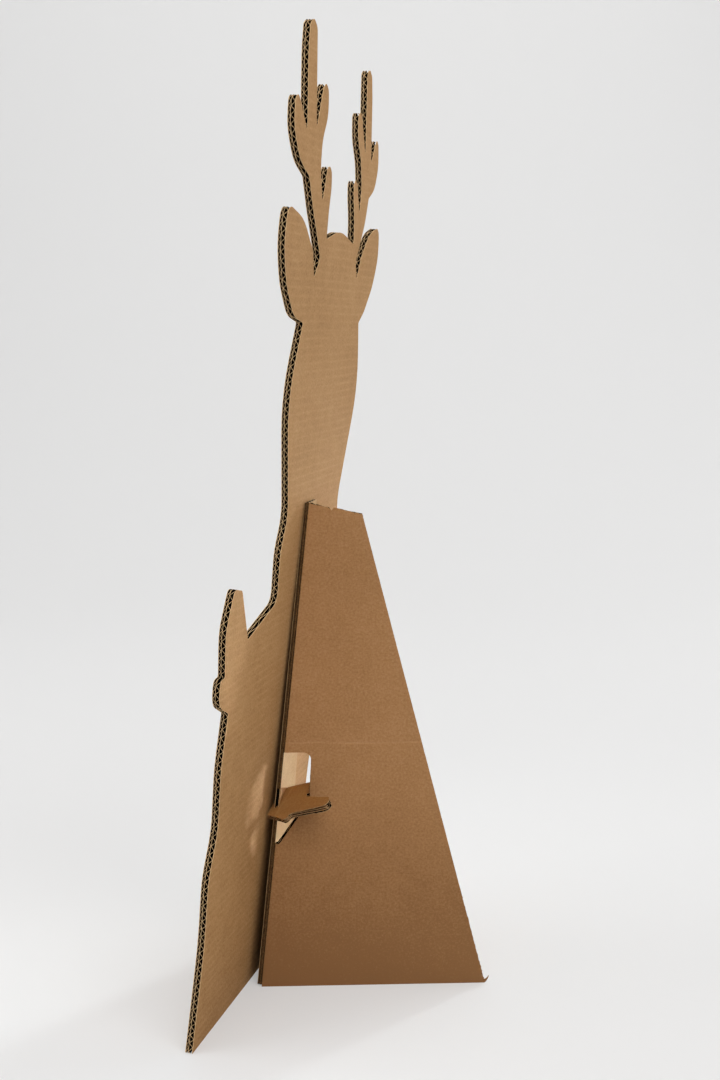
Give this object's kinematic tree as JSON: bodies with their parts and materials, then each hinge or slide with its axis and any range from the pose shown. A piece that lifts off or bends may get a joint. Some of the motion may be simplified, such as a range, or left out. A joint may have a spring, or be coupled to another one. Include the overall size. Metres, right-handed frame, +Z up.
{
  "type": "cardboard reindeer standee",
  "caption": "Flat reindeer figure cut from double-wall corrugated board, held upright by a folded cardboard easel with a locking tongue on its back.",
  "frame": {"origin": "centre of the bounding box on the floor", "axes": "+Z up, -Y towards the back and its easel, +X to the right as seen from behind"},
  "size_m": [0.393, 0.2396, 0.9301],
  "materials": {
    "board": "matte",
    "easel": "matte"
  },
  "bodies": {
    "root": {"reindeer_panel": "board", "easel_stand": "easel"}
  },
  "joints": []
}
